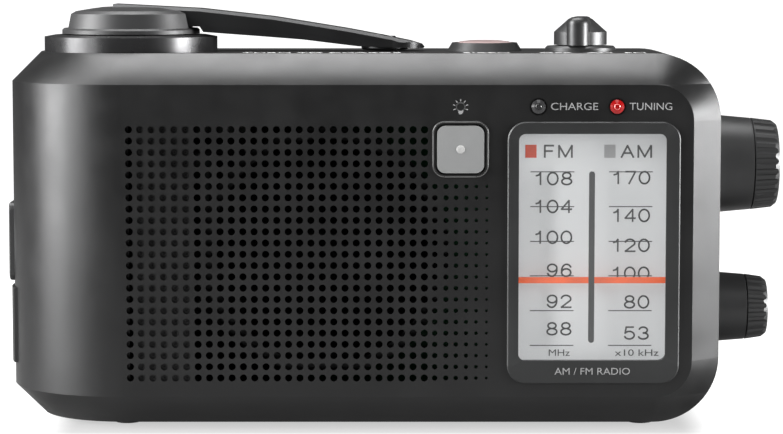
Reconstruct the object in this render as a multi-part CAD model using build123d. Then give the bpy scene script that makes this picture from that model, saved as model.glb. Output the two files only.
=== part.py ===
from build123d import *
from math import asin, cos, degrees, pi, radians, sin, sqrt, tan
import os

# Hand-crank emergency radio for camping: AM/FM receiver with dynamo crank, torch and siren.
# Millimetres, +Z up, the grille and dial face -Y. Z = 0 is the underside of the rubber feet.

# ---------------------------------------------------------------- driving dimensions
HALF_DEPTH = 32.5          # half of the case depth, front to back
CASE_Z0 = 0.9              # underside of the case, carried on the feet
CASE_Z1 = 99.8             # top deck
CASE_RIGHT = 87.4          # right side wall, outside
BEVEL = 8.0                # 45 degree bevel round the front and the back
CORNER_R = 17.6            # right-hand corners seen from the front
WALL = 2.4                 # case wall
SPLIT_Y = HALF_DEPTH - BEVEL   # parting plane between the case tub and the rear cover

CRANK_X = -71.7            # vertical axis of the crank and of the round left end
DECK = CASE_Z1
HUB_PIVOT_Z = 108.0        # axis the crank arm folds about
FINGER_X = -2.15           # finger knob at the tip of the arm

GRILLE_PITCH = 3.0
GRILLE_X0 = -69.6          # first column of holes
GRILLE_Z0 = 80.0           # top row of holes
GRILLE_COLS = 27
GRILLE_ROWS = 23
GRILLE_D = 1.9
FADE_X = (11.15, 14.1, 16.75, 19.46, 22.1, 24.85)
FADE_D = (1.45, 1.37, 1.2, 1.1, 0.95, 0.75)
FADE_FIRST_ROW = 5
BLIND_FIRST = 1            # columns in front of the dynamo are closed dimples
BLIND_LAST = 5

DIAL_X0, DIAL_X1 = 30.3, 75.9
DIAL_Z0, DIAL_Z1 = 12.5, 82.1
WINDOW_X0, WINDOW_X1 = 33.3, 72.2
WINDOW_Z0, WINDOW_Z1 = 18.7, 78.9
POINTER_Z = 39.7
POINTER_LOW, POINTER_HIGH = 23.1, 68.9

BUTTON_X, BUTTON_Z = 17.9, 74.8     # light button
CHARGE_X, TUNED_X, LED_Z = 38.4, 59.1, 86.05
SIREN_X = 25.2
SELECTOR_X = 51.5
TUNING_Z = 68.8            # axis of the tuning knob
VOLUME_Z = 29.2            # axis of the volume knob
TUNING_END_X = 105.2
TORCH_Z = 47.65
TORCH_FACE_X = -105.2

SPEAKER_X, SPEAKER_Z, SPEAKER_R = -18.0, 47.5, 33.0

# dynamo gear train: crank gear 48 -> idler 12 + 40 -> dynamo pinion 12
CRANK_M, CRANK_T, IDLER_SMALL_T = 0.8, 48, 12
DYNAMO_M, IDLER_BIG_T, DYNAMO_T = 0.6, 40, 12
IDLER_X = CRANK_X + CRANK_M * (CRANK_T + IDLER_SMALL_T) / 2
DYNAMO_X = IDLER_X - DYNAMO_M * (IDLER_BIG_T + DYNAMO_T) / 2

# tuning drive: pinion 12 on the knob shaft, 36 tooth wheel on the cord drum below it
TUNE_M, TUNE_PINION_T, TUNE_WHEEL_T = 0.6, 12, 36
DRUM_Z = TUNING_Z - TUNE_M * (TUNE_PINION_T + TUNE_WHEEL_T) / 2
DRUM_R = (POINTER_HIGH - POINTER_LOW) / pi
DRUM_X = 66.5
CORD_FRONT_Y = -20.0

AERIAL_Z = 89.0            # telescopic aerial lying in the step behind the top deck
AERIAL_Y = 28.6
AERIAL_PIVOT_X = -38.0
STEP_X0 = -45.0
STEP_Z = 84.0

FRONT_Y = -HALF_DEPTH
PANEL_BACK_Y = FRONT_Y + WALL


# ---------------------------------------------------------------- helpers
def block(x0, x1, y0, y1, z0, z1):
    """Box given by its limits."""
    size = Box(x1 - x0, y1 - y0, z1 - z0)
    return Pos((x0 + x1) / 2, (y0 + y1) / 2, (z0 + z1) / 2) * size


def rod_x(x0, x1, y, z, r):
    """Cylinder along X."""
    return Pos((x0 + x1) / 2, y, z) * Rot(0, 90, 0) * Cylinder(r, x1 - x0)


def rod_y(x, y0, y1, z, r):
    """Cylinder along Y."""
    return Pos(x, (y0 + y1) / 2, z) * Rot(90, 0, 0) * Cylinder(r, y1 - y0)


def rod_z(x, y, z0, z1, r):
    """Cylinder along Z."""
    return Pos(x, y, (z0 + z1) / 2) * Cylinder(r, z1 - z0)


def turned_z(x, y, points):
    """Solid of revolution about a vertical axis, from (radius, z) points."""
    face = make_face(Polyline(*[(r, 0, z) for r, z in points], close=True))
    return Pos(x, y, 0) * revolve(face, Axis.Z, 360)


def turned_x(y, z, points):
    """Solid of revolution about an axis along X, from (radius, x) points."""
    face = make_face(Polyline(*[(x, 0, r) for r, x in points], close=True))
    return Pos(0, y, z) * revolve(face, Axis.X, 360)


def turned_y(x, z, points):
    """Solid of revolution about an axis along Y, from (radius, y) points."""
    face = make_face(Polyline(*[(r, y, 0) for r, y in points], close=True))
    return Pos(x, 0, z) * revolve(face, Axis.Y, 360)


def plate_y(x0, x1, z0, z1, r, y0, y1):
    """Rounded rectangle in the XZ plane with thickness along Y."""
    plane = Plane(origin=((x0 + x1) / 2, y0, (z0 + z1) / 2), x_dir=(1, 0, 0), z_dir=(0, 1, 0))
    return extrude(plane * RectangleRounded(x1 - x0, z1 - z0, r), y1 - y0)


def gear_z(teeth, module, z0, z1, phase, bore=0.0):
    """Spur gear about Z with straight-sided teeth, one tooth centred at the phase angle."""
    pitch_r = teeth * module / 2
    step = 360 / teeth
    tip_r = pitch_r + 0.8 * module
    root_r = pitch_r - 1.15 * module
    points = []
    for n in range(teeth):
        middle = phase + n * step
        for r, share in ((root_r, -0.34), (tip_r, -0.12), (tip_r, 0.12), (root_r, 0.34)):
            angle = radians(middle + share * step)
            points.append((r * cos(angle), r * sin(angle)))
    wheel = extrude(Plane.XY.offset(z0) * make_face(Polyline(*points, close=True)), z1 - z0)
    if bore > 0:
        wheel = wheel - Pos(0, 0, (z0 + z1) / 2) * Cylinder(bore, z1 - z0 + 1)
    return wheel


def one(shape):
    """The single solid of a shape, or the compound of its solids."""
    solids = shape.solids()
    if len(solids) == 1:
        return solids[0]
    return Compound(children=list(solids))


parts = {}


def add(name, shape):
    """Keep a finished piece under its node name."""
    parts[name] = one(shape)


# ---------------------------------------------------------------- case
def envelope(inset):
    """Outer form of the radio moved inwards by inset: round left end, bevelled front and back."""
    half = HALF_DEPTH - inset
    z0 = CASE_Z0 + inset
    z1 = CASE_Z1 - inset
    cut = BEVEL - inset * (2 - sqrt(2))
    left = turned_z(CRANK_X, 0, [
        (0, z0), (half - cut, z0), (half, z0 + cut), (half, z1 - cut), (half - cut, z1), (0, z1)])
    left = left & block(CRANK_X - 50, CRANK_X, -50, 50, -5, 120)
    x0 = CRANK_X - 40
    x1 = CASE_RIGHT - inset
    right = plate_y(x0, x1, z0, z1, CORNER_R - inset, -half, half)
    rims = right.edges().filter_by(lambda e: abs(abs(e.center().Y) - half) < 0.01)
    right = chamfer(rims, cut)
    right = right & block(CRANK_X, x1 + 1, -50, 50, -5, 120)
    return left + right


def panel_outline(shrink, y0, y1):
    """Flat front field: square on the left where the round end starts, rounded on the right."""
    r = CORNER_R - BEVEL - shrink
    z0 = CASE_Z0 + BEVEL + shrink
    z1 = CASE_Z1 - BEVEL - shrink
    full = plate_y(CRANK_X - 30, CASE_RIGHT - BEVEL - shrink, z0, z1, r, y0, y1)
    return full & block(CRANK_X + shrink, CASE_RIGHT, y0 - 1, y1 + 1, -5, 120)


def grille_centres():
    """Every grille hole as (x, z, diameter, column)."""
    found = []
    for col in range(GRILLE_COLS):
        for row in range(GRILLE_ROWS):
            x = GRILLE_X0 + col * GRILLE_PITCH
            found.append((x, GRILLE_Z0 - row * GRILLE_PITCH, GRILLE_D, col))
    for n, x in enumerate(FADE_X):
        for row in range(FADE_FIRST_ROW, GRILLE_ROWS):
            found.append((x, GRILLE_Z0 - row * GRILLE_PITCH, FADE_D[n], GRILLE_COLS + n))
    return found


inside = envelope(WALL)
outside = envelope(0)
step_cut = block(STEP_X0, CASE_RIGHT + 1, SPLIT_Y, HALF_DEPTH + 1, STEP_Z, CASE_Z1 + 1)

# main case: a deep tub open at the back, with the front field cut out for the panel
tub = (outside - inside) & block(-120, 120, -40, SPLIT_Y, -5, 120)
tub = tub - panel_outline(0, FRONT_Y - 1, PANEL_BACK_Y + 0.3)
ledge = panel_outline(-2.5, PANEL_BACK_Y, PANEL_BACK_Y + 1.6) - panel_outline(1.8, -40, 0)
ledge = ledge & outside
tub = tub + ledge
back_strip = block(STEP_X0 - WALL, CASE_RIGHT - 1, SPLIT_Y - WALL, SPLIT_Y, STEP_Z - WALL, CASE_Z1 - 1)
back_strip = back_strip & outside
tub = tub + back_strip

# screw bosses the rear cover is pulled against: (x, z) of each screw and the block round it
SCREWS = ((-78.0, 12.5), (72.0, 12.5), (76.5, 76.0), (-53.0, 87.0))
boss_blocks = (
    (-82.5, -73.5, 14.0, 3.0, 17.0),
    (67.5, 76.5, 14.0, 3.0, 17.0),
    (72.0, 86.0, 14.0, 71.5, 82.0),
    (-57.5, -47.0, 21.3, 83.0, 98.0))
for x0, x1, y0, z0, z1 in boss_blocks:
    tub = tub + (block(x0, x1, y0, SPLIT_Y, z0, z1) & outside)
for x, z in SCREWS:
    tub = tub - rod_y(x, 19.5, SPLIT_Y + 1, z, 1.3)

# top deck openings: crank hub, siren button, selector shaft
tub = tub - rod_z(CRANK_X, 0, 90, 105, 10.0)
tub = tub - rod_z(SIREN_X, 0, 90, 105, 7.0)
tub = tub - rod_z(SELECTOR_X, 0, 90, 105, 3.6)
# side openings: knob bushes on the right, torch and sockets on the left
tub = tub - rod_x(80, 95, 0, TUNING_Z, 4.6)
tub = tub - rod_x(80, 95, 0, VOLUME_Z, 3.6)
tub = tub - rod_x(-110, -85, 0, TORCH_Z, 10.0)
tub = tub - block(-110, -90, -7.5, 7.5, 17.5, 33.5)
# shallow seat for the rubber port cover
seat = rod_z(CRANK_X, 0, 14.8, 35.8, 40) - rod_z(CRANK_X, 0, 10, 40, HALF_DEPTH - 0.8)
tub = tub - (seat & block(-120, -80, -10.3, 10.3, 10, 40))
tub = tub + rod_z(38.0, 0, 90.4, 98.0, 2.0)
add("main_case", tub)

# rear cover: bevelled tray that closes the back, stepped at the top for the aerial
cover = (outside - inside) & block(-120, 120, SPLIT_Y, 40, -5, 120)
cover = cover - step_cut
shelf = block(STEP_X0 - WALL, CASE_RIGHT, SPLIT_Y, HALF_DEPTH, STEP_Z - WALL, STEP_Z) & outside
cheek = block(STEP_X0 - WALL, STEP_X0, SPLIT_Y, HALF_DEPTH, STEP_Z - WALL, CASE_Z1) & outside
cover = cover + shelf + cheek
DOOR_X0, DOOR_X1, DOOR_Z0, DOOR_Z1 = -34.0, 34.0, 12.0, 60.0
cover = cover - plate_y(DOOR_X0, DOOR_X1, DOOR_Z0, DOOR_Z1, 2.0, HALF_DEPTH - WALL - 1, 40)
for x, z in SCREWS:
    pillar = rod_y(x, SPLIT_Y, HALF_DEPTH - 0.5, z, 3.9) & outside
    cover = cover + pillar
    cover = cover - rod_y(x, 20, 40, z, 1.45) - rod_y(x, HALF_DEPTH - 5.2, 40, z, 2.75)
add("rear_cover", cover)

# battery door: flat plate with a finger notch and grip ribs
door = plate_y(DOOR_X0 + 0.2, DOOR_X1 - 0.2, DOOR_Z0 + 0.2, DOOR_Z1 - 0.2, 1.8, HALF_DEPTH - WALL, HALF_DEPTH)
for n in range(5):
    door = door + block(-9, 9, HALF_DEPTH - 0.2, HALF_DEPTH + 0.6, 46.5 + 2 * n, 47.3 + 2 * n)
door = door - rod_x(-9, 9, HALF_DEPTH + 1.2, DOOR_Z1 - 1.5, 2.2)
add("battery_door", door)

# front panel with the grille
holes = grille_centres()
panel_blank = panel_outline(0, FRONT_Y, PANEL_BACK_Y)
front_face = panel_blank.faces().filter_by(lambda f: abs(f.center().Y - FRONT_Y) < 0.001)[0]
through = []
for x, z, d, col in holes:
    if BLIND_FIRST <= col <= BLIND_LAST:
        continue
    plane = Plane(origin=(x, FRONT_Y, z), x_dir=(1, 0, 0), z_dir=(0, -1, 0))
    through.append(Wire.make_circle(d / 2, plane))
pierced = Face(front_face.outer_wire(), through)
panel = Solid.extrude(pierced, Vector(0, WALL, 0))
dimples = [rod_y(x, FRONT_Y - 0.5, FRONT_Y + 1.0, z, d / 2)
           for x, z, d, col in holes if BLIND_FIRST <= col <= BLIND_LAST]
panel = Part() + panel - dimples
panel = panel - plate_y(BUTTON_X - 7.1, BUTTON_X + 7.1, BUTTON_Z - 7.1, BUTTON_Z + 7.1, 2.8, -40, -25)
panel = panel - plate_y(DIAL_X0 + 1.2, DIAL_X1 - 1.2, DIAL_Z0 + 1.2, DIAL_Z1 - 1.2, 3.9, -40, -25)
for x in (CHARGE_X, TUNED_X):
    panel = panel - rod_y(x, -40, -25, LED_Z, 1.95)
for x, z in ((12.5, 83.0), (23.5, 66.6)):
    panel = panel + rod_y(x, PANEL_BACK_Y - 0.2, -21.2, z, 0.9)
add("front_panel", panel)

# rubber feet
FOOT_R = 3.2
feet = [rod_z(x, y, 0, CASE_Z0, FOOT_R) for x in (CRANK_X, 67.0) for y in (-18.0, 18.0)]
add("feet", Compound(children=feet))

# case screws: pan heads sunk in the rear cover
screws = []
for x, z in SCREWS:
    head = rod_y(x, HALF_DEPTH - 5.1, HALF_DEPTH - 3.3, z, 2.5)
    head = head - block(x - 1.9, x + 1.9, HALF_DEPTH - 4.1, HALF_DEPTH, z - 0.35, z + 0.35)
    head = head - block(x - 0.35, x + 0.35, HALF_DEPTH - 4.1, HALF_DEPTH, z - 1.9, z + 1.9)
    screws.append(one(head + rod_y(x, 20.0, HALF_DEPTH - 5.1, z, 1.28)))
add("case_screws", Compound(children=screws))


# ---------------------------------------------------------------- light button and indicators
rim = plate_y(BUTTON_X - 7.45, BUTTON_X + 7.45, BUTTON_Z - 7.5, BUTTON_Z + 7.5, 3.2, FRONT_Y - 0.4, FRONT_Y)
rim = chamfer(rim.edges().filter_by(lambda e: e.center().Y < FRONT_Y - 0.39), 0.2)
rim = rim + plate_y(BUTTON_X - 7.1, BUTTON_X + 7.1, BUTTON_Z - 7.1, BUTTON_Z + 7.1, 2.8, FRONT_Y, -29.0)
rim = rim - plate_y(BUTTON_X - 6.6, BUTTON_X + 6.6, BUTTON_Z - 6.65, BUTTON_Z + 6.65, 2.4, -40, -25)
add("light_button_bezel", rim)
cap = plate_y(BUTTON_X - 6.2, BUTTON_X + 6.2, BUTTON_Z - 6.25, BUTTON_Z + 6.25, 2.2, FRONT_Y - 0.5, -28.2)
cap = cap + plate_y(BUTTON_X - 7.0, BUTTON_X + 7.0, BUTTON_Z - 7.0, BUTTON_Z + 7.0, 2.6, -28.8, -28.2)
cap = cap + rod_y(BUTTON_X, -28.3, -27.7, BUTTON_Z, 2.0)
add("light_button", cap)


def led(x):
    """Indicator lamp with a domed front just proud of the panel."""
    return turned_y(x, LED_Z, [
        (0, FRONT_Y - 0.55), (1.1, FRONT_Y - 0.4), (1.9, FRONT_Y), (1.9, -28.4), (2.4, -28.4),
        (2.4, -27.2), (0, -27.2)])


add("charge_led", led(CHARGE_X))
add("tuning_led", led(TUNED_X))


def push_switch_y(x, z, y):
    """Small push switch facing the front, its plunger tip at y."""
    return rod_y(x, y, y + 1.6, z, 1.6) + block(x - 3, x + 3, y + 1.6, y + 5.2, z - 3, z + 3)


def push_switch_z(x, y, z):
    """Small push switch facing up, its plunger tip at z."""
    return rod_z(x, y, z - 1.6, z, 1.6) + block(x - 3, x + 3, y - 3, y + 3, z - 5.2, z - 1.6)


add("push_switches", Compound(children=[
    one(push_switch_y(BUTTON_X, BUTTON_Z, -26.4)), one(push_switch_z(SIREN_X, 0, 95.6))]))

# two small boards: one behind the light button, one under the top deck controls
BOARD_T = 1.6
button_board = block(10.5, 25.5, -21.2, -21.2 + BOARD_T, 66.0, 83.5)
deck_board = block(14.0, 64.0, -8.0, 8.0, 88.8, 88.8 + BOARD_T)

# ---------------------------------------------------------------- siren button and selector
siren_ring = turned_z(SIREN_X, 0, [
    (6.9, CASE_Z1 - 2.0), (6.9, DECK), (10.3, DECK), (8.9, DECK + 2.3), (8.2, DECK + 2.3),
    (7.9, DECK + 0.5), (5.0, DECK + 0.5), (5.0, CASE_Z1 - 2.0)])
add("siren_bezel", siren_ring)
siren_cap = turned_z(SIREN_X, 0, [
    (0, 96.9), (6.0, 96.9), (6.0, 97.5), (4.8, 97.5), (4.8, 101.8), (7.4, 101.8), (7.4, 102.1),
    (6.6, 102.4), (4.0, 102.7), (0, 102.8)])
add("siren_button", siren_cap)

dial_disc = turned_z(SELECTOR_X, 0, [
    (3.5, DECK), (9.6, DECK), (9.6, DECK + 0.9), (9.1, DECK + 1.4), (3.5, DECK + 1.4)])
add("selector_base", dial_disc)
rotary = rod_z(SELECTOR_X, 0, 90.4, 96.9, 8.5) + rod_z(SELECTOR_X, 0, 96.9, 101.0, 3.45)
rotary = rotary - rod_z(SELECTOR_X, 0, 92.0, 102, 2.05)
add("selector_switch", rotary)
knob = turned_z(SELECTOR_X, 0, [
    (0, 92.4), (2.0, 92.4), (2.0, 101.5), (7.25, 101.5), (7.25, 105.0), (3.2, 108.6), (0, 108.6)])
fin = block(-3.1, 3.1, -7.1, 4.3, 101.5, 109.2)
fin = fin + rod_z(0, -7.1, 101.5, 109.2, 3.1) + rod_z(0, 4.3, 101.5, 109.2, 3.1)
fin_rims = fin.edges().filter_by(lambda e: e.center().Z > 109)
fin = fillet(fin_rims, 2.0)
knob = knob + Pos(SELECTOR_X, 0, 0) * Rot(0, 0, -9) * fin
add("selector_knob", knob)


# ---------------------------------------------------------------- side knobs
def side_knob(z, base_r, mid_r, end_r, x_mid, x_end, flutes, flute_r, bore):
    """Round knob on the right side: smooth skirt, fluted grip, bore for its shaft."""
    x0 = CASE_RIGHT + 0.8
    body = turned_x(0, z, [
        (0, x0), (base_r, x0), (mid_r, x_mid - 0.2), (mid_r - 0.3, x_mid), (mid_r, x_mid + 0.25),
        (end_r, x_end - 1.2), (end_r - 0.9, x_end), (0, x_end)])
    taper = (mid_r - end_r) / (x_end - 1.2 - x_mid)
    reach = mid_r + flute_r * 0.4
    for n in range(flutes):
        side, up = sin(2 * pi * n / flutes), cos(2 * pi * n / flutes)
        groove = Plane(origin=(x_mid + 0.5, reach * side, z + reach * up), z_dir=(1, -taper * side, -taper * up))
        body = body - Location(groove) * Pos(0, 0, 6) * Cylinder(flute_r, 12)
    return body - rod_x(x0 - 1, x_end - 2.2, 0, z, bore)


add("tuning_knob", side_knob(TUNING_Z, 13.5, 12.6, 11.95, 98.3, TUNING_END_X, 26, 1.05, 3.0))
add("volume_knob", side_knob(VOLUME_Z, 9.7, 9.0, 8.35, 97.1, 102.9, 22, 0.95, 3.0))

tuning_bush = rod_x(81.0, CASE_RIGHT, 0, TUNING_Z, 4.55) + rod_x(81.0, 84.9, 0, TUNING_Z, 6.5)
tuning_bush = tuning_bush - rod_x(80, 90, 0, TUNING_Z, 3.03)
add("tuning_bush", tuning_bush)


def gear_x(teeth, module, x0, x1, y, z, phase, bore=0.0):
    """Spur gear about an axis along X; the phase angle is measured from +Z towards +Y."""
    wheel = gear_z(teeth, module, x0, x1, 0, bore)
    wheel = Rot(0, 0, phase) * wheel
    turned = Location(Plane(origin=(0, y, z), x_dir=(0, 0, 1), z_dir=(1, 0, 0)))
    return turned * wheel


# knob shaft with its pinion; one pinion tooth points straight down at the wheel
pinion = gear_x(TUNE_PINION_T, TUNE_M, 70.5, 75.0, 0, TUNING_Z, 180)
add("tuning_shaft", pinion + rod_x(75.0, TUNING_END_X - 2.2, 0, TUNING_Z, 3.0))

# wheel, cord drum and capacitor spindle in one moulding; a tooth gap points straight up
wheel = gear_x(TUNE_WHEEL_T, TUNE_M, 71.2, 74.2, 0, DRUM_Z, 180 / TUNE_WHEEL_T)
drum = turned_x(0, DRUM_Z, [
    (0, 61.4), (2.9, 61.4), (2.9, 64.2), (15.6, 64.2), (15.6, 65.2), (DRUM_R - 0.35, 65.9),
    (DRUM_R - 0.35, 67.1), (15.6, 67.8), (15.6, 68.8), (5.0, 68.8), (5.0, 74.6), (0, 74.6)])
spindle = rod_x(48.0, 61.4, 0, DRUM_Z, 2.0)
add("tuning_drum", drum + wheel + spindle)
capacitor = block(46.0, 60.6, -9.0, 8.6, DRUM_Z - 10, DRUM_Z + 10) - rod_x(47.5, 62, 0, DRUM_Z, 2.05)
add("tuning_capacitor", capacitor)

volume_body = rod_x(68.0, 80.0, 0, VOLUME_Z, 8.0) + rod_x(80.0, 87.4, 0, VOLUME_Z, 3.5)
volume_body = volume_body + block(68.0, 72.0, -5.0, 5.0, VOLUME_Z - 12, VOLUME_Z - 4)
volume_body = volume_body - rod_x(70.0, 90.0, 0, VOLUME_Z, 2.05)
add("volume_control", volume_body)
volume_shaft = rod_x(71.0, 88.4, 0, VOLUME_Z, 2.0) + rod_x(88.4, 100.7, 0, VOLUME_Z, 3.0)
add("volume_shaft", volume_shaft)

# ---------------------------------------------------------------- dial
collar_x0, collar_x1 = DIAL_X0 + 1.2, DIAL_X1 - 1.2
collar_z0, collar_z1 = DIAL_Z0 + 1.2, DIAL_Z1 - 1.2
bezel = plate_y(DIAL_X0, DIAL_X1, DIAL_Z0, DIAL_Z1, 4.9, FRONT_Y - 0.6, FRONT_Y)
bezel = chamfer(bezel.edges().filter_by(lambda e: e.center().Y < FRONT_Y - 0.59), 0.3)
bezel = bezel + plate_y(collar_x0 + 0.05, collar_x1 - 0.05, collar_z0 + 0.05, collar_z1 - 0.05, 3.8, FRONT_Y, -25.5)
bezel = bezel - plate_y(WINDOW_X0, WINDOW_X1, WINDOW_Z0, WINDOW_Z1, 1.8, -40, -20)
bezel = bezel - plate_y(WINDOW_X0 - 0.8, WINDOW_X1 + 0.8, WINDOW_Z0 - 0.8, WINDOW_Z1 + 0.8, 2.2, FRONT_Y + 0.4, -20)
add("dial_bezel", bezel)
lens = plate_y(WINDOW_X0 - 0.75, WINDOW_X1 + 0.75, WINDOW_Z0 - 0.75, WINDOW_Z1 + 0.75, 2.1, FRONT_Y + 0.4, -30.9)
add("dial_lens", lens)
BAR_X0, BAR_X1, BAR_Z0, BAR_Z1 = 52.0, 53.5, 23.2, 68.8
add("dial_centre_bar", plate_y(BAR_X0, BAR_X1, BAR_Z0, BAR_Z1, 0.72, -30.9, -29.6))
scale_plate = plate_y(WINDOW_X0 - 1.5, WINDOW_X1 + 1.5, WINDOW_Z0 - 1.5, WINDOW_Z1 + 1.5, 2.0, -25.5, -24.5)
scale_plate = scale_plate - block(52.5, 53.8, -30, -20, POINTER_LOW - 0.5, POINTER_HIGH - 0.5)
add("dial_scale", scale_plate)

# pointer: orange strip with a neck through the slot to a carriage on the guide rod
GUIDE_X, GUIDE_Y = 50.0, -20.0
strip = block(WINDOW_X0 - 0.4, WINDOW_X1 + 0.4, -28.9, -28.1, POINTER_Z - 0.8, POINTER_Z + 0.8)
neck = block(52.7, 53.6, -28.3, -22.0, POINTER_Z - 0.4, POINTER_Z + 0.4)
carriage = block(46.5, 69.0, -22.4, -17.6, POINTER_Z - 3, POINTER_Z + 3)
carriage = carriage - rod_z(GUIDE_X, GUIDE_Y, 20, 60, 1.05) - rod_z(DRUM_X, CORD_FRONT_Y, 20, 60, 0.7)
add("dial_pointer", strip + neck + carriage)

# dial chassis: end blocks and a side strip behind the light box, with the guide rod and cord pins
chassis = block(44.0, 62.0, -24.5, -16.0, 11.0, 16.0) + block(44.0, 62.0, -24.5, -16.0, 79.5, 84.5)
chassis = chassis + block(33.0, 46.0, -24.5, -22.9, 11.0, 84.5) - block(35.5, 50.0, -30, -22.5, 16.0, 79.5)
chassis = chassis + block(33.0, 35.5, -24.5, -22.9, 11.0, 84.5)
CORD_BACK_Y = -DRUM_R
CORD_MID_Y = (CORD_FRONT_Y + CORD_BACK_Y) / 2
PIN_R = (CORD_BACK_Y - CORD_FRONT_Y) / 2 - 0.3
PIN_Z0, PIN_Z1 = 14.0, 81.0
for z in (PIN_Z0, PIN_Z1):
    chassis = chassis + rod_x(61.5, 69.0, CORD_MID_Y, z, PIN_R)
chassis = chassis + rod_z(GUIDE_X, GUIDE_Y, 15.0, 80.0, 1.0)
add("dial_chassis", chassis)

# dial cord: a loop over the two guide pins with one turn round the drum
CORD_R = 0.25
half = (CORD_BACK_Y - CORD_FRONT_Y) / 2
legs = rod_z(DRUM_X, CORD_FRONT_Y, PIN_Z0, PIN_Z1, CORD_R) + rod_z(DRUM_X, CORD_BACK_Y, PIN_Z0, PIN_Z1, CORD_R)
for z, side in ((PIN_Z0, -1), (PIN_Z1, 1)):
    bend = Pos(DRUM_X, CORD_MID_Y, z) * Rot(0, 90, 0) * Torus(half, CORD_R)
    z0, z1 = (z - 10, z) if side < 0 else (z, z + 10)
    legs = legs + (bend & block(60, 70, -30, 0, z0, z1))
legs = legs + Pos(DRUM_X, 0, DRUM_Z) * Rot(0, 90, 0) * Torus(DRUM_R - 0.05, CORD_R)
add("dial_cord", legs)

# ---------------------------------------------------------------- speaker
basket = turned_y(SPEAKER_X, SPEAKER_Z, [
    (30.0, PANEL_BACK_Y), (SPEAKER_R, PANEL_BACK_Y), (SPEAKER_R, -28.3), (31.0, -28.3), (21.5, -14.0),
    (12.0, -14.0), (12.0, -15.2), (20.5, -15.2), (29.5, -28.6)])
for n in range(6):
    angle = n * 60 + 30
    window = rod_y(0, -26, -16, 23.5, 4.4)
    basket = basket - Pos(SPEAKER_X, 0, SPEAKER_Z) * Rot(0, angle, 0) * window
add("speaker_basket", basket)
cone = turned_y(SPEAKER_X, SPEAKER_Z, [
    (0, -21.0), (8.5, -19.2), (9.0, -17.6), (27.0, -27.6), (28.0, -28.9), (29.1, -28.6), (29.1, -29.3),
    (28.0, -29.8), (26.6, -28.6), (9.0, -19.6), (6.0, -22.0), (0, -22.6)])
add("speaker_cone", cone)
add("speaker_magnet", rod_y(SPEAKER_X, -14.0, -5.0, SPEAKER_Z, 19.0) + rod_y(SPEAKER_X, -5.0, -3.4, SPEAKER_Z, 16.0))

# ---------------------------------------------------------------- boards, aerial rod, battery
main_board = block(-28.0, 62.0, 8.6, 8.6 + BOARD_T, 6.0, 86.0)
add("circuit_boards", Compound(children=[main_board, button_board, deck_board]))
add("ferrite_rod", rod_x(-24.0, 56.0, 17.0, 72.0, 4.0))
coil = rod_x(16.0, 40.0, 17.0, 72.0, 5.6)
coil = coil + block(17.5, 19.0, 10.2, 17.0, 68, 76) + block(37, 38.5, 10.2, 17.0, 68, 76)
coil = coil - rod_x(0, 60, 17.0, 72.0, 4.0)
add("aerial_coil", coil)

CELL_R, CELL_L, CELL_Y = 7.1, 50.0, 21.2
CELL_Z = (19.5, 35.0, 50.5)
tray = block(-33.0, 33.0, 11.4, 29.6, 10.0, 60.4) - block(-31.6, 31.6, 12.8, 40, 11.2, 59.2)
add("battery_tray", tray)
cells = []
for n, z in enumerate(CELL_Z):
    nose = 1 if n % 2 == 0 else -1
    cell = rod_x(-CELL_L / 2, CELL_L / 2 - 1.2, CELL_Y, z, CELL_R)
    cell = cell + rod_x(CELL_L / 2 - 1.2, CELL_L / 2, CELL_Y, z, 2.6)
    if nose < 0:
        cell = Pos(0, CELL_Y, z) * Rot(0, 180, 0) * Pos(0, -CELL_Y, -z) * cell
    cells.append(one(cell))
add("battery_cells", Compound(children=cells))
contacts = []
for n, z in enumerate(CELL_Z):
    nose = 1 if n % 2 == 0 else -1
    flat = block(31.0, 31.6, CELL_Y - 5, CELL_Y + 5, z - 5, z + 5) + rod_x(25.0, 31.2, CELL_Y, z, 1.8)
    loop = block(-31.6, -31.0, CELL_Y - 5, CELL_Y + 5, z - 5, z + 5)
    loop = loop + turned_x(CELL_Y, z, [(0, -31.0), (4.6, -31.0), (2.6, -25.0), (0, -25.0)])
    pair = [one(flat), one(loop)]
    if nose < 0:
        pair = [Pos(0, CELL_Y, z) * Rot(0, 180, 0) * Pos(0, -CELL_Y, -z) * p for p in pair]
    contacts += pair
add("battery_contacts", Compound(children=contacts))

# ---------------------------------------------------------------- crank
ring = turned_z(CRANK_X, 0, [
    (9.55, 97.4), (9.95, 97.4), (9.95, DECK), (23.6, DECK), (23.6, DECK + 4.0), (20.9, DECK + 4.5),
    (9.55, DECK + 4.5)])
add("crank_base_ring", ring)

HUB_SLOT = 8.3             # half width of the slot the arm lies in
hub = turned_z(CRANK_X, 0, [
    (0, 97.0), (9.5, 97.0), (9.5, 104.6), (18.8, 104.6), (18.8, 105.6), (18.3, 106.1),
    (17.6, 110.0), (16.4, 110.8), (12.0, 111.7), (6.0, 112.1), (0, 112.2)])
hub = hub - block(CRANK_X - 25, CRANK_X + 25, -HUB_SLOT, HUB_SLOT, 106.1, 115)
hub = hub - rod_y(CRANK_X, -HUB_SLOT, HUB_SLOT, HUB_PIVOT_Z, 6.9)
hub = hub - rod_y(CRANK_X, -14.5, 14.5, HUB_PIVOT_Z, 1.5) - rod_z(CRANK_X, 0, 90, 100.0, 3.0)
add("crank_hub", hub)
add("crank_hinge_pin", rod_y(CRANK_X, -12.5, 12.5, HUB_PIVOT_Z, 1.5))

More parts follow.
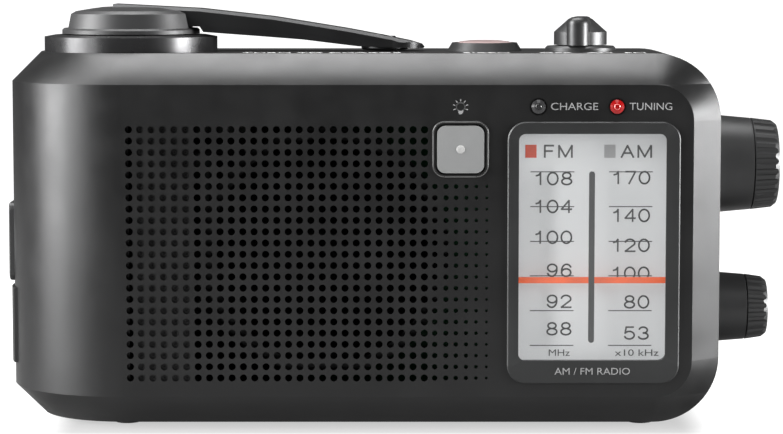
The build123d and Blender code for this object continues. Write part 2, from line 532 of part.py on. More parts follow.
# arm: bevelled blade that tapers towards the finger knob, hinged in the hub slot
ARM_TOP = ((-75.9, 112.7), (-52.6, 111.5), (-32.4, 109.25), (-12.3, 106.0), (-2.2, 104.1), (5.0, 102.6), (8.2, 101.7))
ARM_UNDER = ((8.8, 100.9), (8.4, 100.6), (-9.3, 101.2), (-14.3, 101.8), (-24.4, 103.05), (-36.5, 104.0),
             (-51.4, 105.1), (-52.4, 106.6), (-66.0, 106.6), (-69.5, 104.4), (-74.0, 104.4), (-75.9, 107.0))
side = make_face(Polyline(*[(x, 0, z) for x, z in ARM_TOP + ARM_UNDER], close=True))
blade = extrude(side, 9.0, both=True)
plan = Polyline((-90, -8.0), (-55.0, -8.0), (1.6, -7.0), (1.6, 7.0), (-55.0, 8.0), (-90, 8.0), close=True)
outline = extrude(Plane.XY.offset(95) * make_face(plan), 25) + rod_z(1.6, 0, 95, 120, 7.2)
arm = blade & outline
ARM_BEVEL = 0.8
for (xa, za), (xb, zb) in zip(ARM_TOP[:4], ARM_TOP[1:5]):
    for way in (-1, 1):
        ya, yb = (8.0 - max(0.0, x + 55.0) / 56.6 for x in (xa, xb))
        first = Vector(xa, way * (ya - ARM_BEVEL), za)
        along = Vector(xb, way * (yb - ARM_BEVEL), zb) - first
        down = Vector(xa, way * ya, za - ARM_BEVEL) - first
        out = along.cross(down)
        out = out if out.Z > 0 else out * -1
        arm = arm - Location(Plane(origin=first, x_dir=along, z_dir=out)) * Pos(0, 0, 10) * Box(300, 60, 20)
arm = arm - rod_y(CRANK_X, -10, 10, HUB_PIVOT_Z, 1.53)
KNOB_R = 6.4
arm = arm - rod_z(FINGER_X, 0, 99, 102.5, KNOB_R + 0.3) - rod_z(FINGER_X, 0, 99, 110, 1.83)
arm = arm - rod_z(FINGER_X, 0, 103.2, 110, 3.3)
add("crank_arm", arm)
finger = turned_z(FINGER_X, 0, [
    (0, 100.6), (3.5, 100.6), (5.2, 100.1), (5.9, 100.1), (KNOB_R, 100.6), (KNOB_R, 102.2), (1.8, 102.2), (1.8, 103.3),
    (3.0, 103.3), (3.0, 103.9), (0, 103.9)])
add("crank_finger_knob", finger)

# ---------------------------------------------------------------- dynamo gear train
crank_shaft = rod_z(CRANK_X, 0, 74.0, 100.0, 3.0)
crank_gear = Pos(CRANK_X, 0, 0) * gear_z(CRANK_T, CRANK_M, 84.0, 88.0, 0)
add("crank_shaft", crank_shaft + crank_gear + rod_z(CRANK_X, 0, 82.5, 84.0, 6.0))
small = gear_z(IDLER_SMALL_T, CRANK_M, 81.0, 88.6, 180 + 180 / IDLER_SMALL_T)
big = gear_z(IDLER_BIG_T, DYNAMO_M, 78.0, 81.0, 180)
idler = Pos(IDLER_X, 0, 0) * (small + big) - rod_z(IDLER_X, 0, 70, 95, 1.55)
add("idler_gear", idler)
dynamo_gear = Pos(DYNAMO_X, 0, 0) * gear_z(DYNAMO_T, DYNAMO_M, 77.5, 81.6, 180 / DYNAMO_T)
add("dynamo_pinion", dynamo_gear + rod_z(DYNAMO_X, 0, 55.0, 82.0, 1.0))
can = rod_z(DYNAMO_X, 0, 49.0, 73.0, 14.5) - rod_z(DYNAMO_X, 0, 54.0, 80, 1.05)
add("dynamo", can)
frame = block(-93.5, -33.0, -20.8, 20.8, 90.0, 92.0) + block(-93.5, -33.0, -20.8, 20.8, 73.0, 75.0)
for x, y in ((-90.5, -17.8), (-36.0, -17.8), (-90.5, 17.8), (-36.0, 17.8)):
    frame = frame + rod_z(x, y, 73.5, 97.4, 2.6)
frame = frame & envelope(WALL + 0.3)
frame = frame + rod_z(IDLER_X, 0, 74.0, 91.0, 1.5)
frame = frame - rod_z(CRANK_X, 0, 70, 95, 3.04) - rod_z(DYNAMO_X, 0, 70, 76, 3.0)
add("gearbox_frame", frame)

# ---------------------------------------------------------------- torch in the round left end
torch_seat = rod_z(CRANK_X, 0, 30, 66, HALF_DEPTH)
plug = rod_x(-104.5, -97.0, 0, TORCH_Z, 9.95) & torch_seat
torch_frame = block(TORCH_FACE_X, -101.0, -5.5, 5.5, TORCH_Z - 10.8, TORCH_Z + 10.8)
torch_frame = fillet(torch_frame.edges().filter_by(Axis.X), 2.4)
torch_frame = chamfer(torch_frame.edges().filter_by(lambda e: e.center().X < TORCH_FACE_X + 0.01), 0.3)
torch_frame = torch_frame - (torch_seat - rod_x(-110, -90, 0, TORCH_Z, 9.95))
torch_window = block(-107, -101, -4.0, 4.0, TORCH_Z - 8.2, TORCH_Z + 8.2)
torch_window = fillet(torch_window.edges().filter_by(Axis.X), 2.0)
bezel_ring = plug + torch_frame - rod_x(-102.2, -96.0, 0, TORCH_Z, 9.2) - torch_window
add("torch_bezel", bezel_ring)
add("torch_lens", rod_x(-102.2, -101.0, 0, TORCH_Z, 9.15))
reflector = turned_x(0, TORCH_Z, [
    (9.1, -101.0), (8.6, -101.0), (6.5, -95.0), (2.2, -89.5), (2.2, -87.5), (4.5, -87.5), (8.0, -94.0), (9.1, -99.0)])
add("torch_reflector", reflector)
emitter = rod_x(-87.5, -86.0, 0, TORCH_Z, 6.0) + rod_x(-89.0, -87.5, 0, TORCH_Z, 1.8)
add("torch_led", emitter + Pos(-89.0, 0, TORCH_Z) * Sphere(1.5))

# sockets behind the rubber cover, on their small board
socket_board = block(-94.0, -92.4, -14.0, 14.0, 14.0, 34.5)
usb = block(-101.0, -94.0, -6.0, 6.0, 19.0, 23.6) - block(-105, -95.5, -5.4, 5.4, 19.6, 23.0)
jack = block(-101.0, -94.0, -4.5, 4.5, 25.5, 33.0) - rod_x(-105, -95.0, 0, 29.2, 2.8)
add("sockets", Compound(children=[one(usb), one(jack), socket_board]))
COVER_R = HALF_DEPTH + 0.7
flap = rod_z(CRANK_X, 0, 15.0, 35.4, COVER_R) - rod_z(CRANK_X, 0, 10, 40, HALF_DEPTH - 0.75)
flap = flap & block(-120, -80, -10.1, 10.1, 10, 40)
plug = block(-104.0, -101.9, -7.2, 7.2, 17.9, 33.1)
plug = plug & rod_z(CRANK_X, 0, 10, 40, HALF_DEPTH - 0.3)
add("port_cover", flap + plug)

# ---------------------------------------------------------------- telescopic aerial
TUBE_Y = AERIAL_Y + 0.6    # axis of the folded tubes
swivel = rod_y(AERIAL_PIVOT_X, SPLIT_Y, TUBE_Y - 2.8, AERIAL_Z, 4.2)
for z0, z1 in ((1.5, 3.5), (-3.5, -1.5)):
    ear = block(AERIAL_PIVOT_X - 3.0, AERIAL_PIVOT_X + 3.0, TUBE_Y - 3.1, TUBE_Y + 2.8,
                AERIAL_Z + z0, AERIAL_Z + z1)
    swivel = swivel + ear
swivel = swivel - rod_z(AERIAL_PIVOT_X, TUBE_Y, AERIAL_Z - 5, AERIAL_Z + 5, 1.0)
add("aerial_swivel", swivel)
TUBE_X0 = AERIAL_PIVOT_X + 6.5
TUBE_X1 = TUBE_X0 + 104.0
elbow = block(AERIAL_PIVOT_X, AERIAL_PIVOT_X + 7.0, TUBE_Y - 1.2, TUBE_Y + 1.2, AERIAL_Z - 1.45, AERIAL_Z + 1.45)
elbow = elbow + rod_z(AERIAL_PIVOT_X, TUBE_Y, AERIAL_Z - 1.45, AERIAL_Z + 1.45, 2.3)
elbow = elbow + rod_z(AERIAL_PIVOT_X, TUBE_Y, AERIAL_Z - 3.4, AERIAL_Z + 3.4, 0.95)
elbow = elbow + rod_x(TUBE_X0, TUBE_X1, TUBE_Y, AERIAL_Z, 2.5)
elbow = elbow - rod_x(TUBE_X0 + 3.5, TUBE_X1 + 1, TUBE_Y, AERIAL_Z, 2.1)
add("aerial_tube_1", elbow)
section_2 = rod_x(TUBE_X0 + 5.5, TUBE_X1 + 1.2, TUBE_Y, AERIAL_Z, 2.05)
section_2 = section_2 - rod_x(TUBE_X0 + 6.5, TUBE_X1 + 2, TUBE_Y, AERIAL_Z, 1.65)
add("aerial_tube_2", section_2)
tip = rod_x(TUBE_X0 + 8.5, TUBE_X1 + 2.4, TUBE_Y, AERIAL_Z, 1.6)
tip = tip + rod_x(TUBE_X1 + 2.4, TUBE_X1 + 5.2, TUBE_Y, AERIAL_Z, 2.5)
add("aerial_tip", tip)

# ---------------------------------------------------------------- write one STEP file per piece
os.makedirs("parts", exist_ok=True)
for name, shape in parts.items():
    export_step(shape, "parts/" + name + ".step")
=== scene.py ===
import math
import bmesh
import bpy
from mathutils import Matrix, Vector


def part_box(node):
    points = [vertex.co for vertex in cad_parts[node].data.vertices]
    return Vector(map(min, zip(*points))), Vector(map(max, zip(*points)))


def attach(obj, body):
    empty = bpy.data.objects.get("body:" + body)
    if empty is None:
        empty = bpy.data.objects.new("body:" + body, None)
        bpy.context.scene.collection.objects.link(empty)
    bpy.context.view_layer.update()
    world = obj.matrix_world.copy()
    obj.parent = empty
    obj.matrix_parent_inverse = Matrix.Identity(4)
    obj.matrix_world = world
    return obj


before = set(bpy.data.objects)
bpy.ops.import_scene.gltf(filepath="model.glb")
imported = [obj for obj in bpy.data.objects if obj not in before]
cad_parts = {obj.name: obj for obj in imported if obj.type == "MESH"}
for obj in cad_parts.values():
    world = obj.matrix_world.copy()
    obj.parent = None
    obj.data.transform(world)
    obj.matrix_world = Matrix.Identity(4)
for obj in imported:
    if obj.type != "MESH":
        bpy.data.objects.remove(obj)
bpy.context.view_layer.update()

# ------------------------------------------------------------------ camera
FRONT_Y = -0.0325
CAMERA_AT = Vector((-0.0003, -0.7515, 0.1221))
CAMERA_TILT = 5.18          # degrees down
LENS_MM = 125.7


def make_camera():
    data = bpy.data.cameras.new("camera")
    data.lens = LENS_MM
    data.sensor_width = 36.0
    data.clip_start = 0.01
    data.clip_end = 200.0
    cam = bpy.data.objects.new("camera", data)
    cam.location = CAMERA_AT
    cam.rotation_euler = (math.radians(90 - CAMERA_TILT), 0, 0)
    bpy.context.scene.collection.objects.link(cam)
    bpy.context.scene.camera = cam


make_camera()


# ------------------------------------------------------------------ materials
def nodes_of(name):
    mat = bpy.data.materials.new(name)
    mat.use_nodes = True
    tree = mat.node_tree
    shader = tree.nodes["Principled BSDF"]
    return mat, tree, shader


def noise(tree, scale, detail=3.0, rough=0.55, stretch=None):
    coord = tree.nodes.new("ShaderNodeTexCoord")
    tex = tree.nodes.new("ShaderNodeTexNoise")
    tex.inputs["Scale"].default_value = scale
    tex.inputs["Detail"].default_value = detail
    tex.inputs["Roughness"].default_value = rough
    if stretch:
        mapping = tree.nodes.new("ShaderNodeMapping")
        mapping.inputs["Scale"].default_value = stretch
        tree.links.new(coord.outputs["Object"], mapping.inputs["Vector"])
        tree.links.new(mapping.outputs["Vector"], tex.inputs["Vector"])
    else:
        tree.links.new(coord.outputs["Object"], tex.inputs["Vector"])
    return tex


def ramp(tree, source, low, high):
    r = tree.nodes.new("ShaderNodeValToRGB")
    for end, position, colour in zip(r.color_ramp.elements, (0.3, 0.7), (low, high)):
        end.position = position
        end.color = (*colour, 1)
    tree.links.new(source, r.inputs["Fac"])
    return r.outputs["Color"]


def spread(tree, source, start, end, low=0.0, high=1.0, smooth=False):
    """Map start..end onto low..high, held at both ends."""
    m = tree.nodes.new("ShaderNodeMapRange")
    if smooth:
        m.interpolation_type = "SMOOTHSTEP"
    for key, value in (("From Min", start), ("From Max", end), ("To Min", low), ("To Max", high)):
        m.inputs[key].default_value = value
    tree.links.new(source, m.inputs["Value"])
    return m.outputs["Result"]


def maths(tree, kind, *values):
    """A math node; each value is a number or another node's output."""
    m = tree.nodes.new("ShaderNodeMath")
    m.operation = kind
    for k, v in enumerate(values):
        if isinstance(v, (int, float)):
            m.inputs[k].default_value = v
        else:
            tree.links.new(v, m.inputs[k])
    return m.outputs[0]


BEVEL_BANDS = ((0.0918, 0.0998), (0.0089, 0.0009))   # Z of each long bevel, crease to outer edge


def crown(tree, depth):
    """Height, in metres, of a slight bulge across the long top and bottom bevels of the case."""
    split = tree.nodes.new("ShaderNodeSeparateXYZ")
    tree.links.new(tree.nodes.new("ShaderNodeTexCoord").outputs["Object"], split.inputs["Vector"])
    parts = []
    for start, end in BEVEL_BANDS:
        t = spread(tree, split.outputs["Z"], start, end, -1.0, 1.0)
        parts.append(maths(tree, "MULTIPLY_ADD", maths(tree, "MULTIPLY", t, t), -depth, depth))
    return maths(tree, "ADD", *parts)


CLOUD_SCALE, GLOSS_SCALE = 42, 90     # noise for the tone and for the gloss
GRAIN_DEPTH = 0.00004
EDGE_POINTINESS = (0.53, 0.62)        # where wear begins and where it is full


def surface(name, colour, rough, metallic=0.0, vary=0.12, rough_vary=0.06, grain=1800, bump=0.05,
            coat=0.0, spec=0.5, wear=0.0, stretch=None, alpha=1.0, bulge=0.0):
    """Moulded or metal surface: cloudy tone, uneven gloss, fine grain and a little wear on its edges."""
    mat, tree, shader = nodes_of(name)
    low = tuple(c * (1 - vary) for c in colour)
    high = tuple(min(1.0, c * (1 + vary)) for c in colour)
    out = ramp(tree, noise(tree, CLOUD_SCALE, 4).outputs["Fac"], low, high)
    if wear > 0:
        geo = tree.nodes.new("ShaderNodeNewGeometry")
        edge = spread(tree, geo.outputs["Pointiness"], *EDGE_POINTINESS)
        mix = tree.nodes.new("ShaderNodeMix")
        mix.data_type = "RGBA"
        mix.blend_type = "MIX"
        tree.links.new(maths(tree, "MULTIPLY", edge, wear), mix.inputs["Factor"])
        tree.links.new(out, mix.inputs["A"])
        mix.inputs["B"].default_value = (*[min(1, c * 2.2 + 0.02) for c in colour], 1)
        out = mix.outputs["Result"]
    tree.links.new(out, shader.inputs["Base Color"])
    gloss = noise(tree, GLOSS_SCALE, 3).outputs["Fac"]
    tree.links.new(spread(tree, gloss, 0.25, 0.75, rough - rough_vary, rough + rough_vary),
                   shader.inputs["Roughness"])
    b = tree.nodes.new("ShaderNodeBump")
    b.inputs["Strength"].default_value = bump
    b.inputs["Distance"].default_value = GRAIN_DEPTH
    tree.links.new(noise(tree, grain, 2, 0.6, stretch).outputs["Fac"], b.inputs["Height"])
    if bulge > 0:
        round_off = tree.nodes.new("ShaderNodeBump")
        round_off.inputs["Distance"].default_value = 1.0
        tree.links.new(crown(tree, bulge), round_off.inputs["Height"])
        tree.links.new(round_off.outputs["Normal"], b.inputs["Normal"])
    tree.links.new(b.outputs["Normal"], shader.inputs["Normal"])
    for key, value in (("Metallic", metallic), ("Coat Weight", coat), ("Coat Roughness", 0.1),
                       ("Specular IOR Level", spec), ("IOR", 1.45), ("Alpha", alpha)):
        shader.inputs[key].default_value = value
    return mat


def glow(mat, colour, strength):
    shader = mat.node_tree.nodes["Principled BSDF"]
    shader.inputs["Emission Color"].default_value = (*colour, 1)
    shader.inputs["Emission Strength"].default_value = strength
    return mat


GRAPHITE = (0.0455, 0.0456, 0.0460)
M = {
    "graphite": surface("graphite", GRAPHITE, 0.35, metallic=0.85, vary=0.06, bump=0.30, grain=2600,
                        wear=0.12, bulge=0.0004),
    "face": surface("face graphite", GRAPHITE, 0.37, metallic=0.85, vary=0.06, bump=0.30, grain=2600),
    "crank_gloss": surface("crank ring gloss", (0.040, 0.040, 0.041), 0.28, metallic=0.7, bump=0.08,
                           wear=0.15),
    "arm": surface("arm satin", (0.026, 0.0263, 0.027), 0.36, metallic=0.75, bump=0.25, wear=0.2),
    "crank": surface("crank satin", (0.040, 0.0402, 0.041), 0.42, metallic=0.35, bump=0.25, wear=0.2),
    "knob": surface("knob satin", (0.054, 0.0543, 0.055), 0.40, metallic=0.7, bump=0.25, wear=0.2),
    "bezel": surface("dial bezel", (0.036, 0.0368, 0.0372), 0.4, metallic=0.6, bump=0.25, wear=0.3),
    "bar": surface("centre bar", (0.042, 0.043, 0.044), 0.5, bump=0.1),
    "basket": surface("speaker frame", (0.01, 0.01, 0.011), 0.5, bump=0.2),
    "trim": surface("button trim", (0.012, 0.012, 0.012), 0.35, metallic=0.1, bump=0.1),
    "button": surface("button grey", (0.215, 0.218, 0.218), 0.45, bump=0.15),
    # the dial scale's glow is painted light: it brightens the card, which no lamp lights
    "scale": glow(surface("dial scale", (0.54, 0.547, 0.551), 0.55, vary=0.03, bump=0.05),
                  (0.96, 0.98, 1.0), 0.24),
    "orange": surface("pointer orange", (0.98, 0.12, 0.008), 0.45, vary=0.05, bump=0.05),
    "clear": surface("clear acrylic", (0.9, 0.92, 0.92), 0.05, vary=0.01, rough_vary=0.01, bump=0.01,
                     alpha=0.04, spec=0.3),
    "black": surface("moulded black", (0.012, 0.012, 0.013), 0.5, bump=0.3),
    "rubber": surface("rubber", (0.014, 0.014, 0.014), 0.68, bump=0.5, grain=1500),
    "steel": surface("steel", (0.5, 0.5, 0.52), 0.3, metallic=1.0, stretch=(1, 30, 30), bump=0.1),
    "chrome": surface("chrome", (0.75, 0.75, 0.77), 0.08, metallic=1.0, vary=0.04, rough_vary=0.03,
                      bump=0.02),
    "brass": surface("brass", (0.65, 0.45, 0.16), 0.3, metallic=1.0, bump=0.1),
    "board": surface("board", (0.02, 0.13, 0.05), 0.35, bump=0.2, grain=700),
    "white_plastic": surface("acetal", (0.72, 0.72, 0.68), 0.4, bump=0.1),
    "siren": surface("siren cap", (0.34, 0.25, 0.245), 0.3, coat=0.3),
    "led_off": surface("lamp off", (0.030, 0.030, 0.031), 0.16, coat=0.6, bump=0.02),
    "led_red": glow(surface("lamp red", (0.27, 0.004, 0.004), 0.16, coat=0.6, bump=0.02),
                    (1.0, 0.01, 0.01), 0.07),
    "lamp_ring_dark": surface("lamp ring dark", (0.012, 0.012, 0.012), 0.3, bump=0.02),
    # painted highlight: the pale ring on the red lamp's dome
    "lamp_ring_red_highlight": surface("lamp ring painted highlight", (0.75, 0.16, 0.15), 0.25, coat=0.4, bump=0.02),
    "cone": surface("cone paper", (0.012, 0.012, 0.012), 0.8, bump=0.8, grain=900),
    "magnet": surface("ferrite", (0.03, 0.03, 0.032), 0.55, bump=0.5),
    "copper": surface("enamelled wire", (0.55, 0.2, 0.06), 0.3, metallic=0.8, stretch=(60, 1, 1),
                      bump=0.6, grain=60),
    "cell": surface("cell jacket", (0.05, 0.12, 0.10), 0.3, metallic=0.3, bump=0.05),
    "cord": surface("dial cord", (0.6, 0.57, 0.48), 0.8, bump=0.6),
    "mirror": surface("reflector", (0.9, 0.9, 0.9), 0.05, metallic=1.0, vary=0.02, rough_vary=0.02,
                      bump=0.02),
    "print_dark": surface("print dark", (0.06, 0.06, 0.062), 0.6, vary=0.06, bump=0.05),
    "print_pale": surface("print pale", (0.50, 0.50, 0.51), 0.6, vary=0.06, bump=0.05),
    "print_deck": surface("print deck", (0.62, 0.62, 0.62), 0.55, vary=0.06, bump=0.05),
    "lens_dot": surface("button lens", (0.40, 0.40, 0.395), 0.2, coat=0.4, bump=0.02),
    # painted highlight: pale grey for light caught on the button hole's edge and on the dimple floors
    "painted_highlight": surface("painted highlight line", (0.13, 0.13, 0.13), 0.4, vary=0.06, bump=0.05),
    # painted shade: near black for the shaded gap round each lamp
    "socket": surface("lamp hole painted shade", (0.006, 0.006, 0.006), 0.5, bump=0.05),
    "print_light": surface("print light", (0.27, 0.27, 0.272), 0.55, vary=0.06, bump=0.05),
    "print_orange": surface("print orange", (0.80, 0.062, 0.008), 0.55, vary=0.06, bump=0.05),
}

PAINT = {
    "graphite": "main_case rear_cover battery_door",
    "face": "front_panel",
    "crank_gloss": "crank_base_ring",
    "crank": "crank_hub",
    "arm": "crank_arm crank_finger_knob",
    "knob": "selector_knob tuning_knob volume_knob selector_base siren_bezel torch_bezel",
    "bezel": "dial_bezel",
    "bar": "dial_centre_bar",
    "trim": "light_button_bezel",
    "button": "light_button",
    "scale": "dial_scale",
    "orange": "dial_pointer",
    "clear": "dial_lens torch_lens",
    "black": "push_switches selector_switch volume_control dial_chassis gearbox_frame battery_tray "
             "tuning_capacitor",
    "rubber": "feet port_cover",
    "steel": "case_screws crank_hinge_pin tuning_shaft volume_shaft aerial_swivel dynamo sockets",
    "chrome": "aerial_tube_1 aerial_tube_2 aerial_tip",
    "brass": "tuning_bush battery_contacts",
    "board": "circuit_boards",
    "white_plastic": "tuning_drum idler_gear crank_shaft dynamo_pinion torch_led",
    "siren": "siren_button",
    "led_off": "charge_led",
    "led_red": "tuning_led",
    "cone": "speaker_cone",
    "basket": "speaker_basket",
    "magnet": "speaker_magnet ferrite_rod",
    "copper": "aerial_coil",
    "cell": "battery_cells",
    "cord": "dial_cord",
    "mirror": "torch_reflector",
}
for key, names in PAINT.items():
    for node in names.split():
        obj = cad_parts[node]
        if not obj.material_slots:
            obj.data.materials.append(M[key])
        for s in obj.material_slots:
            s.link = "OBJECT"
            s.material = M[key]


# ------------------------------------------------------------------ helpers for added pieces
def link(obj, body, mat):
    obj.data.materials.clear()
    obj.data.materials.append(M[mat])
    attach(obj, body)
    return obj


def mesh_object(name, bm):
    mesh = bpy.data.meshes.new(name)
    bm.to_mesh(mesh)
    bm.free()
    obj = bpy.data.objects.new(name, mesh)
    bpy.context.scene.collection.objects.link(obj)
    return obj


CAP_HEIGHT = 0.729           # of the built-in font, for a size of one
TYPE_DEPTH = 0.00003


def text_mesh(name, words, size, x, y, z, align="LEFT", upright=True, width=1.0):
    """Flat lettering, extruded a little; cap height is size (metres)."""
    curve = bpy.data.curves.new(name, "FONT")
    curve.body = words
    curve.size = size / CAP_HEIGHT
    curve.align_x = align
    curve.align_y = "BOTTOM_BASELINE"
    curve.extrude = TYPE_DEPTH
    curve.resolution_u = 4
    tmp = bpy.data.objects.new(name + "_tmp", curve)
    bpy.context.scene.collection.objects.link(tmp)
    bpy.context.view_layer.update()
    mesh = bpy.data.meshes.new_from_object(tmp)
    bpy.data.objects.remove(tmp)
    for v in mesh.vertices:
        px, py, pz = v.co.x * width, v.co.y, v.co.z
        v.co = (x + px, y - pz, z + py) if upright else (x + px, y + py, z + pz)
    obj = bpy.data.objects.new(name, mesh)
    bpy.context.scene.collection.objects.link(obj)
    return obj


def slab(bm, x0, x1, z0, z1, y0, y1):
    """Thin box facing the front."""
    got = bmesh.ops.create_cube(bm, size=1.0)
    for v in got["verts"]:
        v.co = ((x0 + x1) / 2 + v.co.x * (x1 - x0), (y0 + y1) / 2 + v.co.y * (y1 - y0),
                (z0 + z1) / 2 + v.co.z * (z1 - z0))


def stroke(bm, points, width, depth):
    """Flat ribbon through (x, z) points at one depth."""
    for a, b in zip(points[:-1], points[1:]):
        d = Vector((b[0] - a[0], 0, b[1] - a[1]))
        n = Vector((-d.z, 0, d.x)).normalized() * width / 2
        e = d.normalized() * width * 0.3
        pa, pb = Vector((a[0], depth, a[1])) - e, Vector((b[0], depth, b[1])) + e
        bm.faces.new([bm.verts.new(p) for p in (pa - n, pb - n, pb + n, pa + n)])


def arc(cx, cy, rx, ry, a0, a1, steps=18):
    turn = [math.radians(a0 + (a1 - a0) * k / steps) for k in range(steps + 1)]
    return [(cx + rx * math.cos(t), cy + ry * math.sin(t)) for t in turn]


def circle(bm, x, z, radius, y, steps):
    """Vertices of an upright circle facing the front."""
    turn = [2 * math.pi * k / steps for k in range(steps)]
    return [bm.verts.new((x + radius * math.cos(t), y, z + radius * math.sin(t))) for t in turn]


def join(bm, a, b):
    """Band of faces between two circles of vertices."""
    for k in range(len(a)):
        n = (k + 1) % len(a)
        bm.faces.new((a[k], a[n], b[n], b[k]))


MM = 0.001
BUTTON_X, BUTTON_Z = 17.9, 74.8       # centre of the light button
GRILLE_X0, GRILLE_Z0, GRILLE_PITCH, GRILLE_ROWS = -69.6, 80.0, 3.0, 23
DIMPLE_COLUMNS = range(1, 6)

# thin, wide figures: strokes in a box one unit high; the first number is the width of the box
FIGURES = {
    "0": (0.84, [arc(0.42, 0.5, 0.42, 0.5, 0, 360, 32)]),
    "1": (0.84, [[(0.20, 0.74), (0.42, 0.80), (0.56, 1.0), (0.56, 0)]]),
    "2": (0.84, [arc(0.42, 0.70, 0.39, 0.30, 170, -25) + [(0.03, 0), (0.84, 0)]]),
    "3": (0.84, [arc(0.42, 0.75, 0.34, 0.25, 165, -90), arc(0.42, 0.26, 0.40, 0.26, 90, -165)]),
    "4": (0.84, [[(0.62, 0), (0.62, 1), (0, 0.27), (0.84, 0.27)]]),
    "5": (0.84, [[(0.76, 1), (0.16, 1), (0.07, 0.50)] + arc(0.42, 0.32, 0.41, 0.32, 148, -160)]),
    "6": (0.84, [arc(0.42, 0.31, 0.38, 0.31, 0, 360, 28), arc(0.46, 0.45, 0.42, 0.55, 185, 35)]),
    "7": (0.84, [[(0.02, 1), (0.82, 1), (0.30, 0)]]),
    "8": (0.84, [arc(0.42, 0.76, 0.33, 0.24, 0, 360, 26), arc(0.42, 0.26, 0.40, 0.26, 0, 360, 28)]),
    "9": (0.84, [arc(0.42, 0.69, 0.38, 0.31, 0, 360, 28), arc(0.38, 0.55, 0.42, 0.55, 5, -145)]),
    "F": (0.80, [[(0, 0), (0, 1), (0.74, 1)], [(0, 0.53), (0.64, 0.53)]]),
    "A": (1.02, [[(0, 0), (0.51, 1), (1.02, 0)], [(0.18, 0.36), (0.84, 0.36)]]),
    "M": (1.10, [[(0, 0), (0, 1), (0.55, 0.04), (1.10, 1), (1.10, 0)]]),
}


def figures(name, words, height, x, z, depth, align, width, gap=0.32):
    """Stroked lettering on a plane facing the front."""
    span = sum(FIGURES[c][0] for c in words) + gap * (len(words) - 1)
    at = -span if align == "RIGHT" else 0.0
    bm = bmesh.new()
    for c in words:
        for points in FIGURES[c][1]:
            stroke(bm, [(x + (at + px) * height, z + pz * height) for px, pz in points], width, depth)
        at += FIGURES[c][0] + gap
    return mesh_object(name, bm)


# ------------------------------------------------------------------ dial print
SCALE_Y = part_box("dial_scale")[0][1]
INK = 0.00006
FM_X, AM_X = (36.7, 48.4), (57.65, 69.25)      # the two columns of lines
LINES_Z = (68.36, 59.06, 49.75, 40.51, 31.14, 21.77)

LINE_HALF = 0.13

bm = bmesh.new()
for x0, x1 in (FM_X, AM_X):
    for z in LINES_Z:
        slab(bm, x0 * MM, x1 * MM, (z - LINE_HALF) * MM, (z + LINE_HALF) * MM, SCALE_Y - INK, SCALE_Y)
link(mesh_object("dial_lines", bm), "radio_body", "print_dark")

for name, x, mat in (("fm_square", 35.3, "print_orange"), ("am_square", 56.3, "print_pale")):
    bm = bmesh.new()
    slab(bm, x * MM, (x + 3.0) * MM, 72.1 * MM, 75.6 * MM, SCALE_Y - INK, SCALE_Y)
    link(mesh_object(name, bm), "radio_body", mat)

FM_NUMBERS = (("108", 64.95), ("104", 57.5), ("100", 49.25), ("96", 40.4), ("92", 32.05), ("88", 24.65))
AM_NUMBERS = (("170", 65.2), ("140", 55.1), ("120", 47.1), ("100", 39.6), ("80", 31.9), ("53", 23.5))
for band, right, rows in (("fm", 47.7, FM_NUMBERS), ("am", 68.4, AM_NUMBERS)):
    for words, z in rows:
        t = figures(band + "_" + words, words, 3.2 * MM, right * MM, z * MM, SCALE_Y - INK, "RIGHT", 0.46 * MM)
        link(t, "radio_body", "print_dark")
for name, words, x in (("fm_label", "FM", 40.5), ("am_label", "AM", 60.9)):
    t = figures(name, words, 3.1 * MM, x * MM, 72.25 * MM, SCALE_Y - INK, "LEFT", 0.50 * MM, 0.42)
    link(t, "radio_body", "print_dark")
for name, words, x, wide in (("unit_mhz", "MHz", 41.6, 1.2), ("unit_khz", "x10 kHz", 59.5, 1.36)):
    t = text_mesh(name, words, 1.85 * MM, x * MM, SCALE_Y - INK, 18.95 * MM, "LEFT", width=wide)
    link(t, "radio_body", "print_dark")

# ------------------------------------------------------------------ print on the case
LABEL_Z = 85.2
for name, words, x, wide in (("label_charge", "CHARGE", 41.5, 1.17), ("label_tuning", "TUNING", 62.3, 1.08)):
    t = text_mesh(name, words, 2.0 * MM, x * MM, FRONT_Y - TYPE_DEPTH, LABEL_Z * MM, "LEFT", width=wide)
    link(t, "radio_body", "print_light")
BEZEL_PROUD = 0.0006
t = text_mesh("label_receiver", "AM / FM RADIO", 1.9 * MM, 53.0 * MM, FRONT_Y - BEZEL_PROUD - TYPE_DEPTH,
              15.0 * MM, "CENTER", width=1.12)
link(t, "radio_body", "print_light")

# small marks on the top deck
DECK_Z, DECK_MARK_Y = 99.8, -20.5
for name, words, x in (("mark_siren", "SIREN", 25.2), ("mark_off", "OFF", 43.5), ("mark_fm", "AM  FM", 60.0),
                       ("mark_wind", "TURN TO CHARGE", -19.0)):
    t = text_mesh(name, words, 4.0 * MM, x * MM, DECK_MARK_Y * MM, (DECK_Z + 0.04) * MM, "CENTER",
                  upright=False, width=0.9)
    link(t, "radio_body", "print_deck")

# lamp symbol above the light button: open bulb, seven rays and a two-step base
SYMBOL_Z, SYMBOL_Y = 86.0 * MM, FRONT_Y - 0.00005
cx = BUTTON_X * MM
bm = bmesh.new()
stroke(bm, [(cx + px * MM, SYMBOL_Z + pz * MM) for px, pz in arc(0, 0, 1.1, 1.1, -60, 240, 24)], 0.34 * MM,
       SYMBOL_Y)
for angle in (-22, 16, 53, 90, 127, 164, 202):
    t = math.radians(angle)
    stroke(bm, [(cx + r * MM * math.cos(t), SYMBOL_Z + r * MM * math.sin(t)) for r in (1.5, 2.0)], 0.24 * MM,
           SYMBOL_Y)
for half, below, thick in ((0.45, 1.3, 0.6), (0.3, 1.75, 0.34)):
    stroke(bm, [(cx - half * MM, SYMBOL_Z - below * MM), (cx + half * MM, SYMBOL_Z - below * MM)], thick * MM,
           SYMBOL_Y)
link(mesh_object("lamp_symbol", bm), "radio_body", "print_light")

